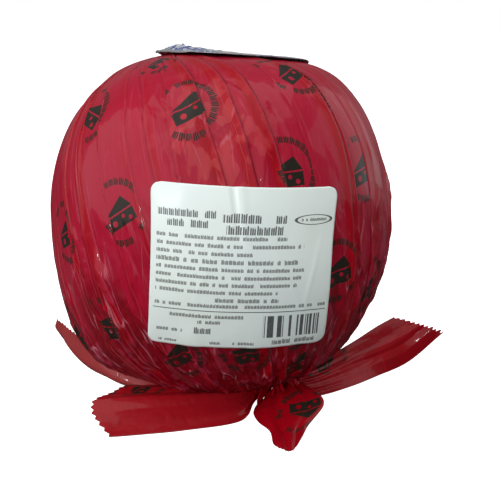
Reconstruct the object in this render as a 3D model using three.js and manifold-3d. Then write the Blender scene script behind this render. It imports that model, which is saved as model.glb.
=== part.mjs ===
// A whole ball of Edam cheese in its pleated plastic wrap, with a paper label and a round top seal.
//
// Millimetres, +Z up. The origin is the centre of the flat spot that the ball rests on.
// -Y is the side with the paper label and +X is to the right of someone who faces it.

import * as THREE from 'three';
import { mergeVertices } from 'three/addons/utils/BufferGeometryUtils.js';
import Module from 'manifold-3d';

// Ball. The wrapped surface is a rounded, slightly squared globe about this centre.
const BALL_HALF_WIDTH = 73.7;
const BALL_HALF_HEIGHT = 74.6;
const CENTRE_HEIGHT = 71.4;
const UPPER_SQUARENESS = 2.55;
const LOWER_SQUARENESS = 2.1;

// Gentle swells and hollows that a hand-turned cheese has. The elevation is in degrees above the
// middle, going round from the right side over the top; share is the change of radius.
const SWELLS = [
  { elevation: 30, share: -0.03 },
  { elevation: 55, share: 0.02 },
  { elevation: 80, share: -0.05 },
  { elevation: 140, share: -0.02 },
  { elevation: 225, share: 0.07 },
  { elevation: 335, share: -0.02 },
];
const SWELL_SPREAD = 0.36; // radians
const SWELL_FORWARD = -0.15; // at the sides the swells lie a little in front of the middle plane
const SWELL_BACK = 0.2; // and over the top a little behind it

// Film. The mean outer skin is the wrapped surface, and each pleat stands proud of it.
const PLEATS = 24;
const PLEAT_HEIGHT = 0.55;
const FILM_UNDER_SKIN = 0.75; // from the wrapped surface down to the film's inner face
const FILM_UNDER_FOOT = 0.85; // film crushed under the resting spot
const CHEESE_GAP = 0.35; // between the film's inner face and the cheese
const PLEATS_MEET_ABOVE = new THREE.Vector3(-18, 22, 70).normalize(); // seen from the centre
const PLEATS_MEET_BELOW = new THREE.Vector3(18, -8, -70.5).normalize();
const CROWN_HEIGHT = 2.2; // the pleats bunch up where they meet at the top
const CROWN_SPREAD = 0.11; // radians
const EYE_RADIUS = 3.5; // the pleats leave a small eye open in the middle of the crown

// Gathered foot of the film, a squat bunch beside the resting spot.
const FOOT_X = 22;
const FOOT_Y = -28;
const FOOT_RADIUS = 15;
const FOOT_HEIGHT = 14;
const TAIL_THICKNESS = 1.2;

// Label. Its centre and size are arc lengths along the ball, right and up from the middle.
const LABEL = { right: 8.2, up: -3.9, width: 70.5, height: 62.8, corner: 4, turn: -3.3 };
const LABEL_LIFT = 1.0; // from the wrapped surface to the label's inner face
const LABEL_THICKNESS = 0.4;

// Round seal on the top, over the crown.
const SEAL_CENTRE = new THREE.Vector3(5, 15, 70);
const SEAL_RADIUS = 32.5;
const SEAL_LIFT = 1.35;
const SEAL_THICKNESS = 0.5;

const CENTRE = new THREE.Vector3(0, 0, CENTRE_HEIGHT);
const wasm = await Module();
wasm.setup();

// ---------------------------------------------------------------------------------------------
// Shape of the ball

const swellDirections = SWELLS.map(({ elevation }) => {
  const angle = THREE.MathUtils.degToRad(elevation);
  const back = SWELL_FORWARD + SWELL_BACK * Math.sin(angle);
  return new THREE.Vector3(Math.cos(angle), back, Math.sin(angle)).normalize();
});

// Distance from the centre to the wrapped surface, along a unit direction.
function wrappedRadius(direction) {
  const across = Math.hypot(direction.x, direction.y) / BALL_HALF_WIDTH;
  const along = Math.abs(direction.z) / BALL_HALF_HEIGHT;
  const power = direction.z > 0 ? UPPER_SQUARENESS : LOWER_SQUARENESS;
  let radius = (across ** power + along ** power) ** (-1 / power);
  SWELLS.forEach(({ share }, i) => {
    const angle = direction.angleTo(swellDirections[i]);
    radius *= 1 + share * Math.exp(-((angle / SWELL_SPREAD) ** 2));
  });
  return radius;
}

// How far the bunched pleats stand up where they meet at the top.
function crown(direction) {
  const angle = direction.angleTo(PLEATS_MEET_ABOVE);
  return CROWN_HEIGHT * Math.exp(-((angle / CROWN_SPREAD) ** 2));
}

function pointOnBall(direction, lift) {
  return direction.clone().multiplyScalar(wrappedRadius(direction) + lift).add(CENTRE);
}

// Two unit vectors square to an axis and to each other, the first as near to `hint` as it can be.
function squareTo(axis, hint) {
  const first = hint.clone().addScaledVector(axis, -hint.dot(axis)).normalize();
  return [first, new THREE.Vector3().crossVectors(axis, first)];
}

// The unit direction at a tilt from an axis and a turn about it.
function directionAbout(axis, [first, second], tilt, turn) {
  return new THREE.Vector3()
    .addScaledVector(axis, Math.cos(tilt))
    .addScaledVector(first, Math.sin(tilt) * Math.cos(turn))
    .addScaledVector(second, Math.sin(tilt) * Math.sin(turn));
}

// ---------------------------------------------------------------------------------------------
// Meshes and solids

function meshGeometry(points, triangles) {
  const geometry = new THREE.BufferGeometry().setFromPoints(points);
  geometry.setIndex(triangles.flat());
  return geometry;
}

// A closed round body. Each station is one ring, the first and last are the two poles, and
// place(station, turn) gives a point. Turns run anticlockwise seen from the first pole.
function roundBody(stations, columns, place) {
  const points = [place(stations[0], 0)];
  const triangles = [];
  const rings = stations.length - 2;
  for (let ring = 1; ring <= rings; ring += 1) {
    for (let column = 0; column < columns; column += 1) {
      points.push(place(stations[ring], (2 * Math.PI * column) / columns));
    }
  }
  points.push(place(stations.at(-1), 0));
  const at = (ring, column) => 1 + ring * columns + (column % columns);
  for (let column = 0; column < columns; column += 1) {
    triangles.push([0, at(0, column), at(0, column + 1)]);
    for (let ring = 0; ring < rings - 1; ring += 1) {
      triangles.push([at(ring, column), at(ring + 1, column), at(ring + 1, column + 1)]);
      triangles.push([at(ring, column), at(ring + 1, column + 1), at(ring, column + 1)]);
    }
    triangles.push([points.length - 1, at(rings - 1, column + 1), at(rings - 1, column)]);
  }
  return meshGeometry(points, triangles);
}

// A closed slab between two faces that share one grid. face(across, along, side) gives a point
// for across and along from 0 to 1; side is 1 on the outer face and -1 on the inner face.
function slab(columns, rows, face) {
  const points = [];
  const triangles = [];
  for (const side of [1, -1]) {
    for (let row = 0; row <= rows; row += 1) {
      for (let column = 0; column <= columns; column += 1) {
        points.push(face(column / columns, row / rows, side));
      }
    }
  }
  const layer = (columns + 1) * (rows + 1);
  const outer = (column, row) => row * (columns + 1) + column;
  const inner = (column, row) => layer + outer(column, row);
  const quad = (a, b, c, d) => triangles.push([a, b, c], [a, c, d]);
  for (let row = 0; row < rows; row += 1) {
    for (let column = 0; column < columns; column += 1) {
      const [c, r] = [column + 1, row + 1];
      quad(outer(column, row), outer(c, row), outer(c, r), outer(column, r));
      quad(inner(column, row), inner(column, r), inner(c, r), inner(c, row));
    }
    quad(inner(0, row), outer(0, row), outer(0, row + 1), inner(0, row + 1));
    quad(outer(columns, row), inner(columns, row), inner(columns, row + 1), outer(columns, row + 1));
  }
  for (let column = 0; column < columns; column += 1) {
    quad(inner(column, 0), inner(column + 1, 0), outer(column + 1, 0), outer(column, 0));
    quad(outer(column, rows), outer(column + 1, rows), inner(column + 1, rows), inner(column, rows));
  }
  return meshGeometry(points, triangles);
}

function toSolid(geometry) {
  const plain = geometry.clone();
  plain.deleteAttribute('normal');
  plain.deleteAttribute('uv');
  const merged = mergeVertices(plain);
  return new wasm.Manifold(new wasm.Mesh({
    numProp: 3,
    vertProperties: new Float32Array(merged.attributes.position.array),
    triVerts: new Uint32Array(merged.index.array),
  }));
}

function toGeometry(solid) {
  const mesh = solid.getMesh();
  const geometry = new THREE.BufferGeometry();
  geometry.setAttribute('position', new THREE.BufferAttribute(mesh.vertProperties, 3));
  geometry.setIndex(new THREE.BufferAttribute(mesh.triVerts, 1));
  return geometry;
}

// Everything above a height, as one large block to intersect with.
function blockAbove(height) {
  const SIDE = 400;
  const block = new THREE.BoxGeometry(SIDE, SIDE, SIDE);
  block.translate(0, 0, height + SIDE / 2);
  return toSolid(block);
}

function namedMesh(name, geometry, colour, roughness, metalness) {
  geometry.computeVertexNormals();
  const material = new THREE.MeshStandardMaterial({ color: colour, roughness, metalness });
  const mesh = new THREE.Mesh(geometry, material);
  mesh.name = name;
  return mesh;
}

// ---------------------------------------------------------------------------------------------
// Cheese: one solid globe with a flat where it rests

const UP = new THREE.Vector3(0, 0, 1);
const ballSides = squareTo(UP, new THREE.Vector3(1, 0, 0));
const BALL_COLUMNS = 40;
const BALL_RINGS = 17;

function plainGlobe(inset, flatHeight) {
  const tilts = Array.from({ length: BALL_RINGS + 1 }, (_, i) => (Math.PI * i) / BALL_RINGS);
  const globe = roundBody(tilts, BALL_COLUMNS, (tilt, turn) =>
    pointOnBall(directionAbout(UP, ballSides, tilt, turn), -inset));
  return toSolid(globe).intersect(blockAbove(flatHeight));
}

function makeCheese() {
  return plainGlobe(FILM_UNDER_SKIN + CHEESE_GAP, FILM_UNDER_FOOT + CHEESE_GAP);
}

// ---------------------------------------------------------------------------------------------
// Film: pleated skin, gathered foot and splayed tails, all one sheet

const filmAxis = PLEATS_MEET_ABOVE.clone().sub(PLEATS_MEET_BELOW).normalize();
const filmSides = squareTo(filmAxis, new THREE.Vector3(0, -1, 0));
const leanAbove = leanTo(PLEATS_MEET_ABOVE, filmAxis);
const leanBelow = leanTo(PLEATS_MEET_BELOW, filmAxis.clone().negate());
const LEAN_POWER = 1.5;
const COLUMNS_PER_PLEAT = 3;
const PLEAT_STEPS = [0, 1, 0.6]; // height of the skin at the three columns of a pleat
const CROWN_TILTS = [0, 4, 8, 12, 17, 23].map(THREE.MathUtils.degToRad);
const SKIN_RINGS = 16;

// The step off an axis that brings its end to a direction.
function leanTo(direction, axis) {
  return direction.clone().divideScalar(direction.dot(axis)).sub(axis);
}

// The pleats run between two meeting points that are not quite opposite each other, so the
// film's meridians lean off its axis towards each end.
function filmDirection(tilt, turn) {
  const height = Math.cos(tilt);
  return directionAbout(filmAxis, filmSides, tilt, turn)
    .addScaledVector(leanAbove, Math.max(0, height) ** LEAN_POWER)
    .addScaledVector(leanBelow, Math.max(0, -height) ** LEAN_POWER)
    .normalize();
}

function makeSkin() {
  const start = CROWN_TILTS.at(-1);
  const tilts = [...CROWN_TILTS];
  for (let ring = 1; ring <= SKIN_RINGS; ring += 1) {
    tilts.push(start + ((Math.PI - start) * ring) / SKIN_RINGS);
  }
  return roundBody(tilts, PLEATS * COLUMNS_PER_PLEAT, (tilt, turn) => {
    const column = Math.round((turn * PLEATS * COLUMNS_PER_PLEAT) / (2 * Math.PI));
    const fade = Math.sin(tilt);
    const pleat = PLEAT_HEIGHT * fade * PLEAT_STEPS[column % COLUMNS_PER_PLEAT];
    const direction = filmDirection(tilt, turn);
    return pointOnBall(direction, pleat + crown(direction));
  });
}

function makeFoot() {
  const profile = [
    [0, 0], [FOOT_RADIUS, 0], [FOOT_RADIUS + 1.5, 4], [FOOT_RADIUS - 2, 9],
    [FOOT_RADIUS - 6, FOOT_HEIGHT], [0, FOOT_HEIGHT],
  ].map(([radius, height]) => new THREE.Vector2(radius, height));
  const foot = new THREE.LatheGeometry(profile, 20);
  foot.rotateX(Math.PI / 2);
  foot.translate(FOOT_X, FOOT_Y, 0);
  return foot;
}

// Each tail is a strip of film led by rows of points, from the foot out to its cut end. The
// points of a row go across the strip. Height 1.2 means lying on the surface below.
const TAILS = {
  frontLeft: [
    [[13, -39, 2.5], [13, -35, 6], [12, -31, 7], [11, -26, 7]],
    [[7, -53.5, 1.2], [4, -44, 6.5], [3, -37, 8.5], [2, -29, 8.5]],
    [[-15, -61.8, 1.2], [-16, -51, 8], [-16, -43, 9.5], [-15, -34, 10]],
    [[-32, -65.5, 1.2], [-37, -53.5, 8], [-32, -44.5, 10], [-26, -36.5, 10.5]],
    [[-45, -67.7, 1.2], [-53.5, -53.5, 6.6], [-45, -43.8, 10.2], [-34, -38, 10.3]],
  ],
  frontRight: [
    [[16, -36, 3], [22, -35, 7], [28, -34, 8], [34, -32, 8]],
    [[12.5, -46, 1.5], [22, -46, 6], [31, -45, 8], [39.5, -42, 8]],
    [[14, -55, 1.3], [22, -57, 3.5], [32, -56, 5.5], [41, -51, 6]],
    [[18.3, -64, 1.2], [22.5, -67, 2], [28, -66, 2.5], [34, -61.5, 1.8]],
    [[19, -75, 1.2], [23, -77.5, 1.4], [27, -76, 1.4], [31, -70, 1.2]],
    [[20, -78, 1.2], [23.5, -82, 1.2], [26.5, -82, 1.2], [28.5, -77, 1.2]],
  ],
  right: [
    [[26, -34, 3], [28, -31, 7], [27, -26, 9]],
    [[40, -28, 1.2], [40, -23, 6.5], [39, -17, 10]],
    [[56, -17, 1.2], [54, -12, 8], [51.8, -5, 13.1]],
    [[70, -4.5, 1.3], [68, -2, 10], [62, 2.5, 16.5]],
    [[86, 5.5, 4], [81, 5, 13.5], [71, 8, 20.3]],
    [[102.7, 8, 17.7], [92, 8, 21.5], [79.8, 12, 23.6]],
  ],
  left: [
    [[10, -34, 4], [8, -31, 4], [6, -28, 4], [6, -25, 4]],
    [[-14, -36, 4.5], [-20, -30, 4.5], [-26, -25, 4.5], [-28, -19, 4]],
    [[-28, -39, 7], [-40, -33, 8.5], [-50, -26, 10.5], [-54, -15, 12]],
    [[-27, -40, 9], [-45, -35, 12], [-62, -24, 18], [-71, -14, 26]],
    [[-24, -38, 10.3], [-42, -34, 18.5], [-60, -25.5, 27.5], [-71, -18, 33.4]],
  ],
  backRight: [
    [[30, -27, 3], [33, -26, 6], [36, -24, 3]],
    [[34, -8, 2], [42, -6, 5], [49, -9, 2]],
    [[38, 16, 2], [46, 18, 6], [54, 15, 2]],
    [[34, 42, 1.6], [43, 45, 6], [52, 40, 1.6]],
    [[24, 64, 1.3], [36, 69, 3], [46, 61, 1.3]],
  ],
  backLeft: [
    [[4, -28, 2.5], [4, -31, 4], [5, -34, 2.5]],
    [[-21, -19, 2], [-24, -24, 4], [-27, -29, 2]],
    [[-34, 3, 2], [-41, 1, 5], [-48, -3, 2]],
    [[-36, 28, 1.6], [-45, 29, 6], [-54, 24, 1.6]],
    [[-32, 53, 1.3], [-42, 57, 3.5], [-56, 47, 1.3]],
  ],
};
const TAIL_COLUMNS = 5;
const TAIL_STEPS = 8;
const NUDGE = 0.002; // share of a strip's length and width over which its slope is measured

// A smooth surface through the rows and columns of points.
function stripSurface(rows) {
  const vectors = rows.map((row) => row.map((place) => new THREE.Vector3(...place)));
  const lanes = vectors[0].map((_, i) => new THREE.CatmullRomCurve3(vectors.map((row) => row[i])));
  return (across, along) =>
    new THREE.CatmullRomCurve3(lanes.map((lane) => lane.getPoint(along))).getPoint(across);
}

function makeTail(rows) {
  const surface = stripSurface(rows);
  const clamp = (value) => Math.min(1, Math.max(0, value));
  return slab(TAIL_COLUMNS, TAIL_STEPS, (across, along, side) => {
    const slopeAcross = surface(clamp(across + NUDGE), along).sub(surface(clamp(across - NUDGE), along));
    const slopeAlong = surface(across, clamp(along + NUDGE)).sub(surface(across, clamp(along - NUDGE)));
    const normal = slopeAcross.cross(slopeAlong).normalize();
    return surface(across, along).addScaledVector(normal, (side * TAIL_THICKNESS) / 2);
  });
}

function makeEye() {
  const LENGTH = 20;
  const eye = new THREE.CylinderGeometry(EYE_RADIUS, EYE_RADIUS, LENGTH, 24);
  const cylinderAxis = new THREE.Vector3(0, 1, 0);
  eye.applyQuaternion(new THREE.Quaternion().setFromUnitVectors(cylinderAxis, PLEATS_MEET_ABOVE));
  const middle = pointOnBall(PLEATS_MEET_ABOVE, 0);
  eye.translate(middle.x, middle.y, middle.z);
  return eye;
}

function makeFilm() {
  let film = toSolid(makeSkin()).add(toSolid(makeFoot()));
  for (const rows of Object.values(TAILS)) {
    film = film.add(toSolid(makeTail(rows)));
  }
  return film
    .intersect(blockAbove(0))
    .subtract(plainGlobe(FILM_UNDER_SKIN, FILM_UNDER_FOOT))
    .subtract(toSolid(makeEye()));
}

// ---------------------------------------------------------------------------------------------
// Label: a rounded rectangle of paper that keeps its true width along the ball

function makeLabel() {
  const COLUMNS = 12;
  const ROWS = 11;
  const turn = THREE.MathUtils.degToRad(LABEL.turn);
  return slab(COLUMNS, ROWS, (across, along, side) => {
    const upward = (along - 0.5) * LABEL.height;
    const intoCorner = Math.max(0, Math.abs(upward) - (LABEL.height / 2 - LABEL.corner));
    const cut = LABEL.corner - Math.sqrt(Math.max(0, LABEL.corner ** 2 - intoCorner ** 2));
    const rightward = (across - 0.5) * (LABEL.width - 2 * cut);
    const right = LABEL.right + rightward * Math.cos(turn) - upward * Math.sin(turn);
    const up = LABEL.up + rightward * Math.sin(turn) + upward * Math.cos(turn);
    const latitude = up / BALL_HALF_WIDTH;
    const longitude = right / (BALL_HALF_WIDTH * Math.cos(latitude));
    const direction = new THREE.Vector3(
      Math.cos(latitude) * Math.sin(longitude),
      -Math.cos(latitude) * Math.cos(longitude),
      Math.sin(latitude),
    );
    return pointOnBall(direction, LABEL_LIFT + (side > 0 ? LABEL_THICKNESS : 0));
  });
}

// ---------------------------------------------------------------------------------------------
// Seal: a thin round disc that follows the top of the wrapped ball

function makeSeal() {
  const RINGS = 8;
  const SEGMENTS = 30;
  const axis = SEAL_CENTRE.clone().normalize();
  const sides = squareTo(axis, new THREE.Vector3(1, 0, 0));
  const outward = Array.from({ length: RINGS + 1 }, (_, i) => (SEAL_RADIUS * i) / RINGS);
  const stations = [
    ...outward.map((radius) => ({ radius, lift: SEAL_LIFT + SEAL_THICKNESS })),
    ...outward.reverse().map((radius) => ({ radius, lift: SEAL_LIFT })),
  ];
  return roundBody(stations, SEGMENTS, ({ radius, lift }, turn) => {
    const direction = directionAbout(axis, sides, radius / BALL_HALF_HEIGHT, turn);
    return pointOnBall(direction, lift + crown(direction));
  });
}

// ---------------------------------------------------------------------------------------------

const group = new THREE.Group();
group.add(
  namedMesh('cheese_ball', toGeometry(makeCheese()), 0xe2b45c, 0.55, 0),
  namedMesh('film_wrap', toGeometry(makeFilm()), 0xa8172b, 0.22, 0),
  namedMesh('product_label', makeLabel(), 0xd6e2dc, 0.45, 0),
  namedMesh('top_seal', makeSeal(), 0xa9b4c4, 0.3, 0.7),
);

export default group;
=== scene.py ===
import math

import bpy
import numpy as np
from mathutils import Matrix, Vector


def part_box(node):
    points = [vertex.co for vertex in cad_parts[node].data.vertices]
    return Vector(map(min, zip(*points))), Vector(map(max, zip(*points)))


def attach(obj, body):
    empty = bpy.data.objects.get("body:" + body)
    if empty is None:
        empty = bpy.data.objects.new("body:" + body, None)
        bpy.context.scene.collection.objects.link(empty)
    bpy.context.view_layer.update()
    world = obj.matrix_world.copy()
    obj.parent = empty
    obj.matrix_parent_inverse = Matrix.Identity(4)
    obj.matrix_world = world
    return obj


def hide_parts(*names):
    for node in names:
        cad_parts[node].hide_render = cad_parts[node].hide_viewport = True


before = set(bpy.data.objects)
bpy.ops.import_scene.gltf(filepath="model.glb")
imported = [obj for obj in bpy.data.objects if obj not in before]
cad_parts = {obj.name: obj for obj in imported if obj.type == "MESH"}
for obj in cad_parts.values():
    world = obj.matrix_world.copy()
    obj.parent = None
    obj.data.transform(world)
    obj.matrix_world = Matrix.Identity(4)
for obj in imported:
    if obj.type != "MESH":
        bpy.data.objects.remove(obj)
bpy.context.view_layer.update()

bl_info = {
    "name": "Wrapped Ball of Cheese",
    "version": (1, 0, 0),
    "blender": (4, 5, 0),
    "location": "3D View > Sidebar > Cheese",
    "description": "Builds a ball of cheese in pleated film, with its label, top seal and tails",
    "category": "Object",
}

MM = 0.001
MM_IN_A_METRE = 1000
BODY = "root"

# ---------------------------------------------------------------------------------------------
# The ball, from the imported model's own boxes

CHEESE_LOW, CHEESE_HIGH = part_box("cheese_ball")
FILM_LOW, FILM_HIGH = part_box("film_wrap")
FILM_OVER_CHEESE = 1.2 * MM
HALF_WIDTH = (CHEESE_HIGH[1] - CHEESE_LOW[1]) / 2 + FILM_OVER_CHEESE
HALF_HEIGHT = HALF_WIDTH * 1.012
PRESSED_FLAT = 3.2 * MM  # how far the ball has settled where it rests
CENTRE = np.array([0.0, 0.0, FILM_LOW[2] + HALF_HEIGHT - PRESSED_FLAT])
UPPER_SQUARENESS = 2.55
LOWER_SQUARENESS = 2.1
SWELLS = ((30, -0.03), (55, 0.02), (80, -0.05), (140, -0.02), (225, 0.07), (335, -0.02))
SWELL_SPREAD = 0.36
SWELL_FORWARD = -0.15
SWELL_BACK = 0.2


def unit(vectors):
    vectors = np.asarray(vectors, float)
    return vectors / np.linalg.norm(vectors, axis=-1, keepdims=True)


def angle_between(directions, direction):
    return np.arccos(np.clip(directions @ direction, -1, 1))


def swell_direction(elevation):
    turn = math.radians(elevation)
    return unit([math.cos(turn), SWELL_FORWARD + SWELL_BACK * math.sin(turn), math.sin(turn)])


def wrapped_radius(directions):
    """Distance from the ball's centre to its wrapped surface, along unit directions."""
    across = np.hypot(directions[..., 0], directions[..., 1]) / HALF_WIDTH
    along = np.abs(directions[..., 2]) / HALF_HEIGHT
    power = np.where(directions[..., 2] > 0, UPPER_SQUARENESS, LOWER_SQUARENESS)
    radius = (across**power + along**power) ** (-1 / power)
    for elevation, share in SWELLS:
        angle = angle_between(directions, swell_direction(elevation))
        radius = radius * (1 + share * np.exp(-((angle / SWELL_SPREAD) ** 2)))
    return radius


PLEATS_MEET_ABOVE = unit([-18, 22, 70])
PLEATS_MEET_BELOW = unit([18, -8, -70.5])
FILM_AXIS = unit(PLEATS_MEET_ABOVE - PLEATS_MEET_BELOW)
LEAN_POWER = 1.5
CROWN_HEIGHT = 2.2 * MM  # the bunched pleats push the film up where they meet
CROWN_SPREAD = 0.11
FILM_SETTLED = 0.4 * MM  # the film between wrinkles lies this far under the wrapped surface
WHOLE_TURN = 2 * math.pi


def turn_between(turn, other):
    """The turn from another one, from minus half a turn to half a turn."""
    return (turn - other + math.pi) % WHOLE_TURN - math.pi


def square_to(axis, hint):
    """Two unit vectors square to an axis and to each other, the first near the hint."""
    first = unit(hint - axis * np.dot(hint, axis))
    return first, np.cross(axis, first)


def direction_about(axis, sides, tilt, turn):
    level = np.cos(turn)[..., None] * sides[0] + np.sin(turn)[..., None] * sides[1]
    return np.cos(tilt)[..., None] * axis + np.sin(tilt)[..., None] * level


FILM_SIDES = square_to(FILM_AXIS, np.array([0.0, -1.0, 0.0]))
LEAN_ABOVE = PLEATS_MEET_ABOVE / np.dot(PLEATS_MEET_ABOVE, FILM_AXIS) - FILM_AXIS
LEAN_BELOW = PLEATS_MEET_BELOW / np.dot(PLEATS_MEET_BELOW, -FILM_AXIS) + FILM_AXIS


def film_direction(tilt, turn):
    """Unit directions on the film: tilt from its upper meeting point, turn round its axis."""
    height = np.cos(tilt)[..., None]
    leaning = direction_about(FILM_AXIS, FILM_SIDES, tilt, turn)
    leaning = leaning + np.maximum(height, 0) ** LEAN_POWER * LEAN_ABOVE
    leaning = leaning + np.maximum(-height, 0) ** LEAN_POWER * LEAN_BELOW
    return unit(leaning)


def crown(directions):
    angle = angle_between(directions, PLEATS_MEET_ABOVE)
    return CROWN_HEIGHT * np.exp(-((angle / CROWN_SPREAD) ** 2))


# ---------------------------------------------------------------------------------------------
# Noise and mesh helpers


def lattice_noise(points, seed):
    """Smooth noise from -1 to 1 at an array of points, the same on every run."""
    generator = np.random.default_rng(seed)
    size = 32
    lattice = generator.uniform(-1, 1, (size, size, size))
    cell = np.floor(points).astype(int)
    part = points - cell
    part = part * part * part * (part * (part * 6 - 15) + 10)
    total = 0
    for corner in np.ndindex(2, 2, 2):
        weight = 1
        index = []
        for axis in range(3):
            near = part[..., axis]
            weight = weight * (near if corner[axis] else 1 - near)
            index.append((cell[..., axis] + corner[axis]) % size)
        total = total + weight * lattice[tuple(index)]
    return total


def ridges(points, seed):
    """Noise with sharp crests, from 0 to 1."""
    return 1 - np.abs(lattice_noise(points, seed))


def smooth_step(value, low, high):
    part = np.clip((value - low) / (high - low), 0, 1)
    return part * part * (3 - 2 * part)


def bell(value, width):
    return np.exp(-((value / width) ** 2))


def new_object(name, points, faces, material):
    mesh = bpy.data.meshes.new(name)
    mesh.from_pydata([tuple(p) for p in points], [], faces)
    mesh.update()
    mesh.polygons.foreach_set("use_smooth", [True] * len(mesh.polygons))
    piece = bpy.data.objects.new(name, mesh)
    bpy.context.scene.collection.objects.link(piece)
    piece.data.materials.append(material)
    return piece


def point_attribute(piece, name, values):
    layer = piece.data.attributes.new(name, "FLOAT", "POINT")
    layer.data.foreach_set("value", np.asarray(values, float).ravel())


def corner_map(piece, name, function):
    """A UV map whose value at each face corner is function(face numbers, vertex numbers)."""
    mesh = piece.data
    vertices = np.empty(len(mesh.loops), int)
    mesh.loops.foreach_get("vertex_index", vertices)
    counts = np.empty(len(mesh.polygons), int)
    mesh.polygons.foreach_get("loop_total", counts)
    faces = np.repeat(np.arange(len(counts)), counts)
    layer = mesh.uv_layers.new(name=name)
    layer.data.foreach_set("uv", function(faces, vertices).astype(float).ravel())


def declare(piece, node):
    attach(piece, BODY)
    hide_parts(node)
    return piece


# ---------------------------------------------------------------------------------------------
# Shader maths


class Value:
    """A node's output socket, with the operators that node trees are written in."""

    def __init__(self, nodes, socket):
        self.nodes = nodes
        self.socket = socket

    def output(self, name):
        """Another output of the same node."""
        return Value(self.nodes, self.socket.node.outputs[name])

    def maths(self, operation, *others, first=None):
        inputs = dict(enumerate([self if first is None else first, *others]))
        return self.nodes.node("ShaderNodeMath", {"operation": operation}, inputs)

    def __add__(self, other):
        return self.maths("ADD", other)

    def __sub__(self, other):
        return self.maths("SUBTRACT", other)

    def __rsub__(self, other):
        return self.maths("SUBTRACT", self, first=other)

    def __mul__(self, other):
        return self.maths("MULTIPLY", other)

    def __truediv__(self, other):
        return self.maths("DIVIDE", other)

    def __pow__(self, other):
        return self.maths("POWER", other)

    def __abs__(self):
        return self.maths("ABSOLUTE")

    def __gt__(self, other):
        return self.maths("GREATER_THAN", other)

    def __lt__(self, other):
        return self.maths("LESS_THAN", other)

    def floor(self):
        return self.maths("FLOOR")

    def fraction(self):
        return self.maths("FRACT")

    def at_most(self, other):
        return self.maths("MINIMUM", other)

    def at_least(self, other):
        return self.maths("MAXIMUM", other)

    __radd__ = __add__
    __rmul__ = __mul__


class Nodes:
    """A node tree that is written with one method for every kind of node."""

    def __init__(self, tree):
        self.tree = tree

    def node(self, kind, settings=(), inputs=(), output=0):
        """Adds a node, sets it up, fills its inputs and returns one of its outputs."""
        node = self.tree.nodes.new(kind)
        for name, value in dict(settings).items():
            setattr(node, name, value)
        for key, value in dict(inputs).items():
            if isinstance(value, Value):
                self.tree.links.new(value.socket, node.inputs[key])
            else:
                node.inputs[key].default_value = value
        return Value(self, node.outputs[output])

    def camera_sees(self):
        """1 for what the camera sees itself, 0 for light that bounces or is reflected."""
        return self.node("ShaderNodeLightPath", (), (), "Is Camera Ray")


class Finish(Nodes):
    """One node material, built from a Principled shader outwards."""

    def __init__(self, name, **constants):
        self.material = bpy.data.materials.new(name)
        self.material.use_nodes = True
        super().__init__(self.material.node_tree)
        self.shader = self.tree.nodes["Principled BSDF"]
        for socket, value in constants.items():
            self.shader.inputs[socket.replace("_", " ")].default_value = value

    def feed(self, socket, value):
        self.tree.links.new(value.socket, self.shader.inputs[socket])

    def map_axes(self, name):
        """The two coordinates of a UV map, in millimetres."""
        place = self.node("ShaderNodeUVMap", {"uv_map": name})
        parts = self.node("ShaderNodeSeparateXYZ", (), {0: place})
        return parts * MM_IN_A_METRE, parts.output(1) * MM_IN_A_METRE

    def attribute(self, name):
        return self.node("ShaderNodeAttribute", {"attribute_name": name}, (), "Fac")

    def object_place(self, scale=1.0):
        place = self.node("ShaderNodeTexCoord", (), (), "Object")
        settings = {"operation": "SCALE"}
        return self.node("ShaderNodeVectorMath", settings, {0: place, "Scale": scale})

    def vector(self, x, y, z=0.0):
        return self.node("ShaderNodeCombineXYZ", (), {0: x, 1: y, 2: z})

    def noise(self, place, scale=1.0, detail=2.0, roughness=0.5):
        inputs = {"Vector": place, "Scale": scale, "Detail": detail, "Roughness": roughness}
        return self.node("ShaderNodeTexNoise", (), inputs, "Fac")

    def random(self, number):
        settings = {"noise_dimensions": "1D"}
        return self.node("ShaderNodeTexWhiteNoise", settings, {"W": number}, "Value")

    def mix(self, share, first, second):
        """A mix of two colours, each a socket or three plain numbers."""
        colours = {6: opaque(first), 7: opaque(second)}
        return self.node("ShaderNodeMix", {"data_type": "RGBA"}, {0: share, **colours}, 2)

    def painted(self, under, *coats):
        """A colour with others laid over it in turn, each by its share."""
        for share, over in coats:
            under = self.mix(share, under, over)
        return under

    def within(self, value, low, high):
        return (value > low) * (value < high)

    def bump(self, height, distance, strength=1.0):
        inputs = {"Height": height, "Distance": distance, "Strength": strength}
        self.feed("Normal", self.node("ShaderNodeBump", (), inputs))


def opaque(paint):
    """A socket as it is, or three plain numbers with their alpha."""
    return paint if isinstance(paint, Value) else (*paint, 1.0)


def disc(across, up, at, radius):
    """1 within a radius of a place."""
    return ((across - at[0]) ** 2.0 + (up - at[1]) ** 2.0) < radius**2


def strokes(finish, cell, across, up, seed):
    """Three stems of random height over a grey smear in each cell, never a letter."""
    shown = 0.35 * ((abs(across - 0.45) < 0.4) * (up < 0.95))
    for i in range(3):
        tall = finish.random(cell * (1.31 + 0.43 * i) + seed + 0.7 * i)
        stem = (abs(across - (0.14 + 0.31 * i)) < 0.1) * (up < tall * 0.45 + 0.7)
        shown = shown.at_least(stem)
    return shown


RING_STROKES = 30
RING_START, RING_DEPTH = 10.2, 2.5  # millimetres from the printed mark's middle
WEDGE_HALF = 6.9
WEDGE_HOLES = (((-3.3, -3.0), 1.15), ((1.5, -1.9), 0.8), ((4.4, -3.8), 0.9))  # middle, radius


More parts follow.
